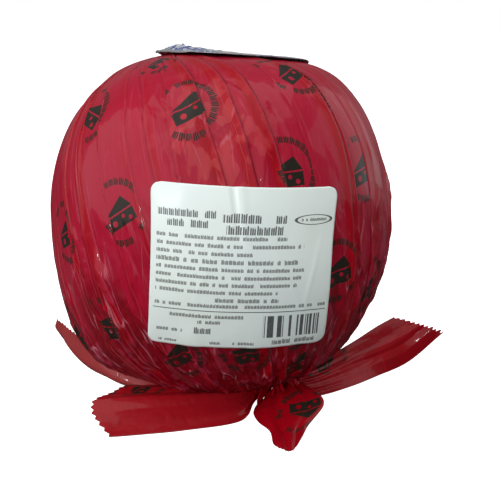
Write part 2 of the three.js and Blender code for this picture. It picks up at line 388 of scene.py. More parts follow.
def printed_mark(finish, across, up):
    """The film's print: a plain wedge of cheese in a ring of strokes, in millimetres."""
    distance = (across * across + up * up) ** 0.5
    turn = finish.node("ShaderNodeMath", {"operation": "ARCTAN2"}, {0: up, 1: across})
    step = turn * (RING_STROKES / WHOLE_TURN)
    cell = step.floor()
    drawn = finish.random(cell * 3.3 + 1.7) > 0.2
    outward = (distance - RING_START) / RING_DEPTH
    ring = strokes(finish, cell, step.fraction(), outward, 4.1) * (outward > 0.0) * drawn
    top_face = finish.within(up, 0.2, 5.0) * (up < (across + WEDGE_HALF) * 0.45 + 0.2)
    top_face = top_face * (across < WEDGE_HALF - (up - 0.2) * 0.6)
    front_face = finish.within(up, -5.3, -0.4) * finish.within(across, -WEDGE_HALF, WEDGE_HALF)
    holes = sum(disc(across, up, middle, radius) for middle, radius in WEDGE_HOLES)
    return (ring + top_face + front_face * (1 - holes)).at_most(1.0)


# ---------------------------------------------------------------------------------------------
# Finishes


def crumpled(finish):
    """Soft facets, drawn out along the pull of the film, from 0 to 1."""
    place = finish.object_place(100)
    stretch = {"operation": "MULTIPLY"}
    place = finish.node("ShaderNodeVectorMath", stretch, {0: place, 1: (1.0, 1.0, 0.42)})
    broad = abs(finish.noise(place, 1.1, detail=1) - 0.5)
    fine = abs(finish.noise(place, 3.0, detail=0.5) - 0.5)
    return (broad * 2.4 + fine * 0.9).at_most(1.0)


def share_above(value, low, high):
    """0 below low, 1 above high."""
    return ((value - low) / (high - low)).at_least(0.0).at_most(1.0)


def creased(finish):
    """Shards between creases that run down the film: painted shade that darkens some of them, painted
    highlight lines along the creases, and painted highlight streaks down the film.
    """
    round_ball, down = finish.map_axes("film")
    place = finish.vector(round_ball * 0.2, down * 0.05)
    warp = finish.noise(place, 0.9, detail=1) * 1.3
    place = finish.vector(round_ball * 0.2 + warp, down * 0.05 - warp * 0.6)
    cells = {"Vector": place, "Scale": 1.0}
    shard = finish.node("ShaderNodeTexVoronoi", (), cells, "Color")
    settings = {"feature": "DISTANCE_TO_EDGE"}
    edge = finish.node("ShaderNodeTexVoronoi", settings, cells, "Distance")
    shown = share_above(finish.noise(place, 1.3, detail=0), 0.52, 0.62)
    streak_highlight = finish.noise(finish.vector(round_ball * 0.8, down * 0.02), detail=2, roughness=0.6)
    dark = share_above(0.56 - shard, 0.0, 0.12)
    line = share_above(0.05 - edge, 0.0, 0.04) * shown
    return dark, line, share_above(streak_highlight, 0.6, 0.7)


def film_finish(name, settings, loose=False):
    """Glossy red film, lying on the cheese or loose on the tails."""
    finish = Finish(name, Specular_IOR_Level=0.1, Coat_Weight=0.3, Coat_Roughness=0.07)
    across, up = finish.map_axes("print")
    cloud = finish.noise(finish.object_place(38), detail=3)
    facets = crumpled(finish)
    if loose:
        # painted shade: the tails' film darkens with the same crumple that bumps it
        red = finish.mix(facets * 0.45, settings.film_loose, settings.film_layers_and_shade)
        # painted reflection: some tails are lightened towards pinkish brown by their share of it
        red = finish.mix(finish.attribute("pale") * 0.75, red, settings.film_tail_reflection)
        relief = facets * 0.26
    else:
        masks = ("slack", "crumple", "strip", "lip_highlight_shadow", "layers", "streak_highlight_zone")
        slack, crumple, strip, lip_highlight_shadow, layers, streak_highlight_zone = map(finish.attribute, masks)
        dark, line, streak_highlight = creased(finish)
        # painted highlight: orange-pink on the crumpled facets of the slack film above the label
        lit = share_above(facets, 0.3, 0.38)
        sheen_facets = share_above(facets, 0.36, 0.44)
        red = finish.painted(
            finish.mix(cloud, settings.film_deep, settings.film_lit),
            # the lower half darkens, partly for the film lying in more layers and partly as painted
            # shade
            (layers, settings.film_layers_and_shade),
            (strip * 0.85, settings.film_strip),
            (lit * slack * 0.55, settings.film_slack_highlight),
            # painted reflection: a pinkish sheen on the higher crumpled facets
            ((sheen_facets * crumple * 0.3).at_most(0.5), settings.film_sheen_highlight),
            # painted shade: darker shards between the creases
            ((dark * crumple * 0.6).at_most(0.7), settings.film_layers_and_shade),
            # painted highlights: pale streaks down the film and pale lines along its creases
            (streak_highlight * streak_highlight_zone * 0.3, settings.film_crease_highlight),
            ((line * crumple * 0.6).at_most(0.7), settings.film_crease_highlight),
            # painted highlight along each fold's edge, then the painted shadow line beside it
            (lip_highlight_shadow.at_least(0.0) * 0.45, settings.film_sheen_highlight),
            ((lip_highlight_shadow * -0.9).at_least(0.0), settings.film_layers_and_shade),
        )
        finish.feed("Coat Weight", 0.28 - strip * 0.12)
        relief = facets * (0.06 + crumple * 0.7) + line * crumple * 0.12
    ink = printed_mark(finish, across, up)
    finish.feed("Base Color", finish.mix(ink, red, settings.print_ink))
    finish.feed("Roughness", 0.3 + cloud * 0.14)
    crinkle = finish.noise(finish.object_place(330), detail=3, roughness=0.55)
    finish.bump(relief + crinkle * 0.05, 1.6 * MM, 0.8)
    return finish.material


# The label's rows of print: height of the letters, middle of the row, start and end, in
# millimetres from the label's middle.
HEADINGS = ((2.5, 21.2, -32.5, -11.5), (2.5, 17.6, -29.5, -13.0), (3.0, 20.2, -9.0, 14.5),
            (3.0, 16.0, -7.5, 13.5), (1.0, 19.9, 20.5, 31.2))
TEXT_ENDS = (15.5, 22.5, 2.5, 20.5, 25.0, 22.5, 20.5, 13.0)
TEXT_ROWS = tuple((1.6 if i == 3 else 1.35, 13.0 - 2.95 * i, -33.0, end)
                  for i, end in enumerate(TEXT_ENDS))
FOOT_ROWS = ((1.6, -10.7, -10.5, 13.5), (1.35, -13.2, -33.0, 33.5), (1.4, -17.7, -27.0, 0.5),
             (1.4, -20.2, -16.5, -8.0), (1.35, -24.4, -32.0, -22.0), (2.5, -24.0, -19.5, -11.0),
             (1.1, -29.4, -31.0, -24.0), (1.3, -29.3, -11.5, -7.5), (1.3, -29.3, -3.0, 5.0),
             (2.0, -28.9, 12.0, 30.0))
LETTER_PITCH = 0.87  # width of a letter's cell for each unit of its height
CODE_STRIPE = 0.36


def greeked_rows(finish, right, up, rows):
    """Rows of random strokes that stand in for lines of print."""
    low = height = 0.0
    for tall, middle, start, end in rows:
        bottom = middle - tall / 2
        inside = finish.within(right, start, end) * finish.within(up, bottom, bottom + tall * 1.2)
        low = inside * bottom + low
        height = inside * tall + height
    shown = height > 0.5
    height = height.at_least(1.0)
    step = right / (height * LETTER_PITCH) + low * 17.7
    cell = step.floor()
    drawn = finish.random(cell * 1.7 + 0.11) < 0.84
    share = (up - low) / height
    return strokes(finish, cell, step.fraction(), share, 2.6) * drawn * shown


def label_finish(settings):
    finish = Finish("label_paper_printed", Coat_Weight=0.1, Coat_Roughness=0.2)
    right, up = finish.map_axes("sheet")
    ink = greeked_rows(finish, right, up, HEADINGS + TEXT_ROWS + FOOT_ROWS)
    rule = finish.within(up, -15.55, -15.2) * finish.within(right, -33.6, 33.8)
    stripe = (right / CODE_STRIPE).floor()
    code = (finish.random(stripe + 0.5) > 0.5) * finish.within(right, 8.2, 31.5)
    code = code * finish.within(up, -26.6, -17.0)
    oval = ((right - 25.8) / 7.6) ** 2.0 + ((up - 19.9) / 1.75) ** 2.0
    ink = ink.at_least(rule).at_least(code).at_least(finish.within(oval, 0.84, 1.16))
    fleck = finish.noise(finish.object_place(900), detail=2)
    tone = finish.noise(finish.object_place(20), detail=1)
    paper = finish.mix(tone, settings.paper, settings.paper_cool)
    finish.feed("Base Color", finish.mix(ink * (0.82 + fleck * 0.14), paper, settings.ink))
    finish.feed("Roughness", 0.38 + fleck * 0.12)
    finish.bump(fleck, 0.03 * MM, 0.35)
    return finish.material


SEAL_RIM_GREY = (0.12, 0.12, 0.13)
SEAL_BAND = (13.0, 27.0)  # millimetres from the seal's middle
SEAL_CORE, SEAL_RIM = 11.5, 31.6


def seal_finish(settings):
    finish = Finish("seal_foil_printed", Roughness=0.3, Metallic=0.6)
    right, up = finish.map_axes("sheet")
    distance = (right * right + up * up) ** 0.5
    wave = finish.noise(finish.object_place(60), detail=2)
    band = finish.within(distance, *SEAL_BAND)
    dots = share_above(finish.noise(finish.object_place(420), detail=1), 0.5, 0.54) * band
    finish.feed("Base Color", finish.painted(
        settings.seal_silver,
        (band * 0.92, settings.seal_blue),
        (dots * 0.8, settings.seal_pale),
        ((distance < SEAL_CORE) * 0.9, settings.seal_pale),
        ((distance > SEAL_RIM) * 0.65, SEAL_RIM_GREY),
    ))
    finish.feed("Metallic", 0.75 - band * 0.45)
    finish.feed("Roughness", 0.22 + wave * 0.22)
    crinkle = finish.noise(finish.object_place(420), detail=3, roughness=0.6)
    finish.bump(crinkle, 0.3 * MM, 0.45)
    return finish.material


def cheese_finish(settings):
    finish = Finish("cheese_rind", Roughness=0.5, Subsurface_Weight=0.15, Subsurface_Scale=0.004)
    cloud = finish.noise(finish.object_place(45), detail=4, roughness=0.6)
    pore = finish.noise(finish.object_place(900), detail=2)
    finish.feed("Base Color", finish.mix(cloud, settings.rind_pale, settings.rind_gold))
    finish.feed("Roughness", 0.42 + pore * 0.2)
    finish.bump(pore + cloud, 0.1 * MM, 0.4)
    return finish.material


# ---------------------------------------------------------------------------------------------
# Film skin

# Where the pleats' edges run on the labelled half: turn in degrees, height in millimetres and
# the side that lies on top, +1 towards the right.
FRONT_PLEATS = (
    (-97, 0.5, 1), (-89, 0.4, 1), (-81, 0.5, -1), (-74, 0.45, 1), (-67, 0.4, 1), (-60, 0.35, -1),
    (-52.5, 0.7, 1), (-48.5, 0.5, -1), (-43.5, 0.75, 1), (-39.5, 0.35, -1), (-31, 0.25, 1),
    (-20, 0.35, -1), (-13, 0.35, 1), (-5, 0.2, 1), (7, 0.65, -1), (15.5, 0.7, -1),
    (24, 0.7, -1), (33, 0.2, 1), (45.5, 0.7, -1), (49, 0.8, -1), (55, 0.35, 1),
    (61, 0.45, -1), (67, 0.4, -1), (73, 0.5, 1), (80, 0.45, -1), (88, 0.5, -1), (96, 0.4, 1),
)
PLEAT_RELIEF = 0.6  # share of a pleat's height that stands over the film
FULL_PLEAT = 0.2 * MM  # a pleat this high or higher shows at full strength
PLEAT_FADE = 6.5 * MM  # how far from its edge a pleat's relief dies away
PLEAT_TWIST = math.radians(-9)  # how far the pleats swing round under the seal
HIDDEN_PER_HEIGHT = 14.0  # film hidden in a pleat for each unit of its height
STRIP_PER_HEIGHT = 10.0  # width of a pleat's layered strip for each unit of its relief
FINE_STEPS = np.array([-1.3, -0.6, -0.22, 0.08, 0.36, 0.85, 1.7]) * MM


class Pleats:
    """The film's pleats, and the mesh columns that follow them."""

    def __init__(self, seed):
        generator = np.random.default_rng(seed)
        rows = [list(row) for row in FRONT_PLEATS]
        turn = FRONT_PLEATS[-1][0]
        last = FRONT_PLEATS[0][0] + 360
        while turn < last - 12:
            turn += generator.uniform(5, 11)
            rows.append([turn, generator.uniform(0.3, 0.75), generator.choice([-1, 1])])
        self.turns = np.radians([row[0] for row in rows])
        self.heights = np.array([row[1] for row in rows]) * MM
        self.sides = np.array([row[2] for row in rows], float)
        self.count = len(rows)
        self.phases = generator.uniform(0, WHOLE_TURN, self.count)
        self.wander = np.radians(generator.uniform(0.4, 1.3, self.count))
        hidden = self.heights * HIDDEN_PER_HEIGHT
        self.heights = self.heights * PLEAT_RELIEF
        self.hidden = np.concatenate([[0], np.cumsum(hidden)])
        self.generator = generator

    def turns_at(self, tilt):
        """Each pleat's turn at each tilt: an array of tilts by pleats."""
        tilt = np.asarray(tilt)[:, None]
        drift = self.wander * np.sin(2.2 * tilt + self.phases)
        twist = PLEAT_TWIST * smooth_step(math.radians(52) - tilt, 0, math.radians(38))
        return self.turns + drift + twist

    def columns(self, spacing):
        """Each column as (pleat, share of the way to the next, offset in metres)."""
        found = []
        for i in range(self.count):
            gap = (self.turns[(i + 1) % self.count] - self.turns[i]) % WHOLE_TURN * HALF_WIDTH
            low, high = FINE_STEPS[-1], gap + FINE_STEPS[0]
            found += [(i, 0.0, step) for step in FINE_STEPS[3:]]
            plain = max(0, int(round((high - low) / spacing)) - 1)
            for k in range(plain):
                found.append((i, (low + (high - low) * (k + 1) / (plain + 1)) / gap, 0.0))
            found += [(i, 1.0, step) for step in FINE_STEPS[:3]]
        return found


def pleat_relief(pleats, tilt, turn, pleat_turns):
    """Height of the folds over the film's mean surface, with masks of the layered strips and of the
    painted highlight and painted shadow line along each fold's edge.
    """
    height = np.zeros(turn.shape)
    strip = np.zeros(turn.shape)
    lip_highlight_shadow = np.zeros(turn.shape)
    scale = HALF_WIDTH * np.maximum(np.sin(tilt), 0.5)
    for i in range(pleats.count):
        across = turn_between(turn, pleat_turns[:, i : i + 1]) * scale * pleats.sides[i]
        life = 0.75 + 0.35 * np.sin(3.1 * tilt + pleats.phases[i] * 2)
        tall = pleats.heights[i] * life
        rise = smooth_step(across, -0.3 * MM, 0.22 * MM)
        fall = np.exp(-np.maximum(across, 0) / PLEAT_FADE)
        height += tall * rise * fall
        height += 0.35 * tall * bell(across - 0.3 * MM, 0.4 * MM)
        height -= 0.3 * tall * bell(across + 0.5 * MM, 0.5 * MM)
        # three layers lie over each other from the fold's edge to its hidden inner fold
        strength = np.clip(tall / FULL_PLEAT, 0, 1)
        wide = STRIP_PER_HEIGHT * pleats.heights[i]
        layered = smooth_step(across, -0.15 * MM, 0.15 * MM)
        layered = layered * (1 - smooth_step(across, wide - 0.6 * MM, wide + 0.4 * MM))
        strip = np.maximum(strip, strength * layered)
        # a painted highlight along the fold's edge, and a painted shadow line beside it
        lip_highlight_shadow = lip_highlight_shadow + strength * bell(across - 0.2 * MM, 0.3 * MM) * (np.abs(lip_highlight_shadow) < 0.2)
        lip_highlight_shadow = lip_highlight_shadow - strength * bell(across + 0.45 * MM, 0.35 * MM)
    return height, strip, lip_highlight_shadow


# Where the film stands slack: how much, then tilt and its spread, turn and its spread, in degrees.
SLACK_ZONES = ((1.0, 68, 17, 6, 15), (0.7, 52, 10, 44, 8))


def slack_share(tilt, turn):
    """1 where the film stands slack off the cheese, above the label."""
    total = 0
    for share, at_tilt, tall, at_turn, wide in SLACK_ZONES:
        zone = bell(np.degrees(tilt) - at_tilt, tall) * bell(np.degrees(turn) - at_turn, wide)
        total = total + share * zone
    return np.clip(total, 0, 1)


# Crumpled creases: how many, then the ranges of tilt, turn and lean in degrees, and of length,
# width and height in millimetres. A fan above the label, thickets below, a few elsewhere.
CREASE_ZONES = (
    (50, (50, 82), (-12, 26), (-40, 40), (8, 20), (1.3, 2.4), (0.2, 0.6)),
    (46, (82, 132), (-58, -20), (-22, 22), (8, 26), (1.2, 2.2), (0.35, 1.1)),
    (34, (118, 150), (-22, 40), (-35, 35), (6, 18), (1.2, 2.2), (0.35, 1.0)),
    (30, (92, 140), (36, 80), (-18, 18), (8, 26), (1.2, 2.2), (0.3, 0.9)),
    (170, (90, 158), (-180, 180), (-28, 28), (6, 24), (1.2, 2.6), (0.25, 0.85)),
    (80, (30, 92), (-180, 180), (-20, 20), (8, 30), (1.3, 2.4), (0.08, 0.3)),
)


def scatter_creases(generator, count, zone):
    """Short sharp creases. zone gives the ranges: tilt, turn, lean, length, width, height."""
    low, high = np.array(zone, float).T
    return generator.uniform(low, high, (count, 6))


def crease_relief(creases, tilt, turn):
    height = np.zeros(turn.shape)
    for at_tilt, at_turn, lean, length, width, tall in creases:
        along = (tilt - math.radians(at_tilt)) * HALF_WIDTH
        across = turn_between(turn, math.radians(at_turn)) * HALF_WIDTH * np.sin(tilt)
        near = np.abs(along) + np.abs(across) < (length + 4) * MM
        a, c = along[near], across[near]
        cosine, sine = math.cos(math.radians(lean)), math.sin(math.radians(lean))
        down, side = a * cosine + c * sine, c * cosine - a * sine
        tent = np.clip(1 - np.abs(side) / (width * MM), 0, 1)
        ends = np.clip(1 - (down / (0.5 * length * MM)) ** 2, 0, 1)
        height[near] += tall * MM * tent * ends
    return height


MARK_REACH = 30 * MM
NO_PRINT = 50 * MM  # a place on the print's map that lies outside every mark
# Middles of the printed marks: turn and tilt in degrees, and how far each is turned.
PRINTED_MARKS = (
    (-37, 48, -35), (2, 57, 12), (42, 51, 25), (-54, 81, 8), (-27, 80, 15), (24, 81, -5),
    (53, 85, 10), (-47, 112, -15), (37, 113, 5), (-25, 126, 10), (-3, 131, -10), (22, 143, 20),
    (-68, 113, 30), (-79, 60, -20), (78, 62, 30), (83, 104, -25), (60, 122, 15), (-8, 30, 40),
)


def more_marks(generator):
    """Marks on the half behind, in staggered rows."""
    found = list(PRINTED_MARKS)
    for row, tilt in enumerate((34, 62, 90, 118, 144)):
        for turn in np.arange(102 + 14 * (row % 2), 262, 31):
            place = (turn + generator.uniform(-4, 4), tilt + generator.uniform(-4, 4))
            found.append((*place, generator.uniform(-50, 50)))
    return np.array(found)


def ring_faces(first, rings, wide, inward=False):
    """Faces between closed rings of points, numbered one ring after another."""
    faces = []
    for start in range(first, first + (rings - 1) * wide, wide):
        for c in range(wide):
            a, b = start + c, start + (c + 1) % wide
            faces.append((a, b, b + wide, a + wide) if inward else (a, a + wide, b + wide, b))
    return faces


class FilmSkin:
    """The whole wrap over the ball, as a shell that is open only at the eye under the seal."""

    ROWS = 190
    INNER_ROWS = 14
    EYE_TILT = math.radians(3.2)
    LAST_TILT = math.pi - 0.002
    POLE_REACH = 0.08
    INNER_DEPTH = 0.95 * MM
    FLOOR_FILM = 0.85 * MM

    def __init__(self, settings):
        self.pleats = Pleats(settings.seed)
        columns = self.pleats.columns(settings.column_spacing)
        self.pleat = np.array([c[0] for c in columns])
        self.share = np.array([c[1] for c in columns])
        self.offset = np.array([c[2] for c in columns])
        tilts = np.linspace(self.EYE_TILT, self.LAST_TILT, self.ROWS)
        self.tilt, self.turn, self.pleat_turns = self.spread(tilts)
        self.settings = settings

    def spread(self, tilts):
        """Tilt and turn of every mesh point, with the pleats' turns on each row."""
        pleat_turns = self.pleats.turns_at(tilts)
        closed = np.concatenate([pleat_turns, pleat_turns[:, :1] + WHOLE_TURN], axis=1)
        start = closed[:, self.pleat]
        gap = closed[:, self.pleat + 1] - start
        narrow = HALF_WIDTH * np.maximum(np.sin(tilts), 0.5)[:, None]
        turn = start + gap * self.share + self.offset / narrow
        return np.broadcast_to(tilts[:, None], turn.shape), turn, pleat_turns

    def relief(self):
        tilt, turn = self.tilt, self.turn
        generator = self.pleats.generator
        height, strip, lip_highlight_shadow = pleat_relief(self.pleats, tilt, turn, self.pleat_turns)
        slack = slack_share(tilt, turn)
        low = smooth_step(np.degrees(tilt), 84, 118)
        ring = np.stack([np.cos(turn) * np.sin(tilt), np.sin(turn) * np.sin(tilt), np.cos(tilt)], -1)
        billow = lattice_noise(ring * 5.5 + 40, 11) + 0.5 * lattice_noise(ring * 12 + 40, 12)
        height += billow * (0.2 + 0.15 * slack + 0.25 * low) * MM
        # long wrinkles that run down the film
        lengthwise = np.stack([np.cos(turn) * 15, np.sin(turn) * 15, tilt * 2.2], -1) + 40
        wrinkle = ridges(lengthwise, 13) ** 3
        finer = ridges(lengthwise * np.array([2.1, 2.1, 1.6]), 14) ** 3
        strength = 0.08 + 0.3 * slack + 0.5 * low
        height += (wrinkle * strength + finer * strength * 0.5) * MM
        for count, *zone in CREASE_ZONES:
            height += crease_relief(scatter_creases(generator, count, zone), tilt, turn)
        crumple = np.clip(0.05 + 0.4 * slack + low * (1.1 + 0.8 * billow), 0, 2.0)
        # darker towards the bottom: partly the film lying in more layers near the gather, partly
        # painted shade
        layers = 0.72 * smooth_step(np.degrees(tilt) + 6 * billow, 98, 132)
        # where the painted highlight streaks show most: over the top and at the sides
        over = 1 - smooth_step(np.degrees(tilt), 28, 50)
        aside = smooth_step(np.abs(np.degrees(turn) - 10), 30, 55)
        streak_highlight_zone = np.clip(0.25 + 0.75 * over + 0.8 * aside, 0, 1.3)
        masks = {"lip_highlight_shadow": np.clip(lip_highlight_shadow, -1, 1), "strip": strip, "slack": slack, "streak_highlight_zone": streak_highlight_zone}
        return height, {**masks, "layers": layers, "crumple": crumple}

    def label_calm(self, directions):
        """1 under the label, where the paper holds the film down."""
        right, up = on_label(directions)
        inside = np.maximum(np.abs(right) / (0.5 * LABEL_WIDTH), np.abs(up) / (0.5 * LABEL_HEIGHT))
        return 1 - smooth_step(inside, 0.93, 1.03)

    def seal_calm(self, directions):
        angle = angle_between(directions, SEAL_AXIS) * HALF_HEIGHT
        return 1 - smooth_step(angle, SEAL_RADIUS - 4 * MM, SEAL_RADIUS)

    def points(self):
        directions = film_direction(self.tilt, self.turn)
        height, masks = self.relief()
        height *= 0.35 + 0.65 * smooth_step(np.sin(self.tilt), 0.05, 0.5)
        for calm in (self.label_calm(directions), self.seal_calm(directions)):
            height = height * (1 - calm) + np.clip(height, -0.2 * MM, 0.6 * MM) * calm
        height = np.maximum(height, -0.3 * MM) - FILM_SETTLED
        radius = wrapped_radius(directions) + height + crown(directions)
        outer = CENTRE + directions * radius[..., None]
        outer[..., 2] = np.maximum(outer[..., 2], FILM_LOW[2])
        return outer, masks

    def inner_points(self):
        tilts = np.linspace(self.EYE_TILT, self.LAST_TILT, self.INNER_ROWS)
        tilt, turn, _ = self.spread(tilts)
        directions = film_direction(tilt, turn)
        inner = CENTRE + directions * (wrapped_radius(directions) - self.INNER_DEPTH)[..., None]
        inner[..., 2] = np.maximum(inner[..., 2], FILM_LOW[2] + self.FLOOR_FILM)
        return inner

    def build(self, material):
        outer, masks = self.points()
        inner = self.inner_points()
        wide = outer.shape[1]
        below = film_direction(np.array([math.pi]), np.array([0.0]))[0]
        pole = CENTRE + below * self.POLE_REACH
        ends = [[pole[0], pole[1], FILM_LOW[2]], [pole[0], pole[1], FILM_LOW[2] + self.FLOOR_FILM]]
        points = np.concatenate([outer.reshape(-1, 3), inner.reshape(-1, 3), ends])
        first_inner = len(outer) * wide
        bottom, top = len(points) - 2, len(points) - 1
        faces = ring_faces(0, len(outer), wide)
        last = (len(outer) - 1) * wide
        faces += [(last + c, bottom, last + (c + 1) % wide) for c in range(wide)]
        outer_faces = len(faces)
        faces += ring_faces(first_inner, len(inner), wide, inward=True)
        last = first_inner + (len(inner) - 1) * wide
        faces += [(last + c, last + (c + 1) % wide, top) for c in range(wide)]
        for c in range(wide):
            d = (c + 1) % wide
            faces.append((c, d, first_inner + d, first_inner + c))
        piece = new_object("film_skin", points, faces, material)
        spare = len(points) - first_inner
        for name, values in masks.items():
            point_attribute(piece, name, np.concatenate([values.ravel(), np.zeros(spare)]))
        self.print_map(piece, wide, outer_faces)
        self.film_map(piece, wide, outer_faces)
        return piece

    def film_map(self, piece, wide, outer_faces):
        """Distances round the ball and down it, in metres, for creases that follow the film."""

        def place(faces, vertices):
            known = faces < outer_faces - wide
            row, column = np.divmod(np.where(known, vertices, 0), wide)
            closing = (faces % wide == wide - 1) & (column == 0)
            turn = self.turn[row, column] + WHOLE_TURN * closing
            return np.stack([turn, self.tilt[row, column]], -1) * HALF_WIDTH * known[:, None]

        corner_map(piece, "film", place)

    def print_map(self, piece, wide, outer_faces):
        """Each face reads its nearest printed mark, cut where a pleat hides part of it."""
        marks = more_marks(np.random.default_rng(self.settings.seed + 1))
        mark_turn, mark_tilt, mark_spin = np.radians(marks).T
        first = self.pleats.turns[0]
        mark_place = (mark_turn - first) % WHOLE_TURN + first
        mark_panel = np.searchsorted(self.pleats.turns, mark_place, side="right") - 1
        hidden, total = self.pleats.hidden, self.pleats.hidden[-1]

        def place(faces, vertices):
            known = faces < outer_faces - wide
            face = np.where(known, faces, 0)
            vertex = np.where(known, vertices, 0)
            row, column = np.divmod(vertex, wide)
            panel = self.pleat[face % wide]
            edge = self.offset[face % wide] == FINE_STEPS[2]
            panel = np.where(edge, (panel + 1) % self.pleats.count, panel)
            centre_row = face // wide
            centre_turn = self.turn[centre_row, face % wide]
            best = np.full(len(face), np.inf)
            found = np.full((len(face), 2), NO_PRINT)
            tilt, turn = self.tilt[row, column], self.turn[row, column]
            for i in range(len(marks)):
                cut = hidden[panel] - hidden[mark_panel[i]]
                cut = (cut + total / 2) % total - total / 2
                cut = np.where(np.abs(cut) > MARK_REACH, NO_PRINT * np.sign(cut), cut)

                def offset(turns, tilts):
                    across = turn_between(turns, mark_turn[i]) * HALF_WIDTH * np.sin(tilts) + cut
                    return across, -(tilts - mark_tilt[i]) * HALF_WIDTH

                x, y = offset(centre_turn, self.tilt[centre_row, 0])
                nearer = x * x + y * y < best
                best = np.where(nearer, x * x + y * y, best)
                x, y = offset(turn, tilt)
                cosine, sine = math.cos(mark_spin[i]), math.sin(mark_spin[i])
                turned = np.stack([x * cosine + y * sine, y * cosine - x * sine], -1)
                found = np.where(nearer[:, None], turned, found)
            return np.where(known[:, None], found, NO_PRINT)

        corner_map(piece, "print", place)


# ---------------------------------------------------------------------------------------------
# Label and seal

LABEL_RIGHT, LABEL_UP = 8.2 * MM, -3.9 * MM
LABEL_WIDTH, LABEL_HEIGHT = 70.5 * MM, 62.8 * MM
LABEL_TURN = math.radians(-3.3)
SEAL_AXIS = unit([5, 15, 70])
SEAL_RADIUS = 32.5 * MM


def on_label(directions):
    """Directions from the ball's centre as places on the label, in metres from its middle."""
    latitude = np.arcsin(np.clip(directions[..., 2], -1, 1))
    longitude = np.arctan2(directions[..., 0], -directions[..., 1])
    right = longitude * HALF_WIDTH * np.cos(latitude) - LABEL_RIGHT
    up = latitude * HALF_WIDTH - LABEL_UP
    cosine, sine = math.cos(LABEL_TURN), math.sin(LABEL_TURN)
    right = np.where(directions[..., 1] < 0, right, 1.0)
    return right * cosine + up * sine, up * cosine - right * sine


def label_direction(right, up):
    cosine, sine = math.cos(LABEL_TURN), math.sin(LABEL_TURN)
    flat_right = LABEL_RIGHT + right * cosine - up * sine
    flat_up = LABEL_UP + right * sine + up * cosine
    latitude = flat_up / HALF_WIDTH
    longitude = flat_right / (HALF_WIDTH * np.cos(latitude))
    return np.stack([np.cos(latitude) * np.sin(longitude),
                     -np.cos(latitude) * np.cos(longitude), np.sin(latitude)], -1)


def slab_faces(columns, rows):
    """Faces of a closed slab: two grids of points, the outer one first, joined round the rim."""
    wide = columns + 1
    layer = wide * (rows + 1)
    faces = []
    for r in range(rows):
        for c in range(columns):
            a = r * wide + c
            faces.append((a, a + 1, a + 1 + wide, a + wide))
            faces.append((layer + a, layer + a + wide, layer + a + 1 + wide, layer + a + 1))
    for r in range(rows):
        a, b = r * wide, r * wide + columns
        faces.append((layer + a, a, a + wide, layer + a + wide))
        faces.append((b, layer + b, layer + b + wide, b + wide))
    for c in range(columns):
        a, b = c, rows * wide + c
        faces.append((layer + a, layer + a + 1, a + 1, a))
        faces.append((b, b + 1, layer + b + 1, layer + b))
    return faces


def strip_grid(columns, rows, start=0.0, end=1.0):
    """Shares across and along a sheet at each point of its mesh, one row after another."""
    across, along = np.linspace(start, end, columns + 1), np.linspace(start, end, rows + 1)
    return np.meshgrid(across, along)


def sheet_points(directions, lift, thickness):
    """A sheet's outer and inner points, with its outer face lifted off the wrapped surface."""
    reach = wrapped_radius(directions) + lift
    faces = [CENTRE + directions * far[..., None] for far in (reach, reach - thickness)]
    return np.concatenate([face.reshape(-1, 3) for face in faces])


def sheet_map(piece, name, across, up, behind=0.0):
    """A UV map in metres over both faces of a sheet, shifted on its back face."""
    flat = np.stack([across, up], -1).reshape(-1, 2)
    flat = np.concatenate([flat, flat + behind])
    corner_map(piece, name, lambda faces, vertices: flat[vertices])


LABEL_COLUMNS, LABEL_ROWS = 112, 100
# Slight creases on the label: place in millimetres right of its middle, lean, and height.
LABEL_CREASES = ((16, 0.5, 0.2), (-14, -0.35, 0.16), (27, -0.2, 0.2))


def build_label(settings, material):
    across, along = strip_grid(LABEL_COLUMNS, LABEL_ROWS, -0.5, 0.5)
    corner = settings.label_corner
    up = along * LABEL_HEIGHT
    into = np.maximum(0, np.abs(up) - (LABEL_HEIGHT / 2 - corner))
    cut = corner - np.sqrt(np.maximum(0, corner**2 - into**2))
    right = across * (LABEL_WIDTH - 2 * cut)
    # the paper dips at a slanting crease near the top, and lifts along its lower edge
    crease = right + 6.0 * MM + (up - 0.5 * LABEL_HEIGHT) * 0.18
    directions = label_direction(right, up)
    low_edge = smooth_step(-up, 0.30 * LABEL_HEIGHT, 0.5 * LABEL_HEIGHT)
    sides = smooth_step(np.abs(right), 0.36 * LABEL_WIDTH, 0.5 * LABEL_WIDTH)
    sheet = np.stack([right * 60, up * 60, right * 0], -1) + 30
    wave = lattice_noise(sheet, 21) + 0.5 * lattice_noise(sheet * 2.3, 22)
    flute = lattice_noise(np.stack([right * 170, up * 25, right * 0], -1) + 30, 23)
    lift = settings.label_lift + wave * 0.16 * MM + flute * (0.05 + 0.3 * low_edge) * MM
    lift = lift + low_edge * 0.5 * MM + sides * 0.15 * MM
    fade = smooth_step(up, 0.05 * LABEL_HEIGHT, 0.42 * LABEL_HEIGHT)
    lift = lift - 0.55 * MM * bell(crease, 1.1 * MM) * fade
    lift = lift + 0.35 * MM * bell(crease - 2.6 * MM, 2 * MM) * fade
    for at, lean, tall in LABEL_CREASES:
        line = right - at * MM + up * lean
        lift = lift + tall * MM * bell(line, 0.9 * MM) * bell(up + 2 * MM, 14 * MM)
    points = sheet_points(directions, lift, settings.label_thickness)
    faces = slab_faces(LABEL_COLUMNS, LABEL_ROWS)
    piece = new_object("label_sheet", points, faces, material)
    sheet_map(piece, "sheet", right, up, behind=1.0)
    return piece


SEAL_RINGS, SEAL_SEGMENTS = 60, 200


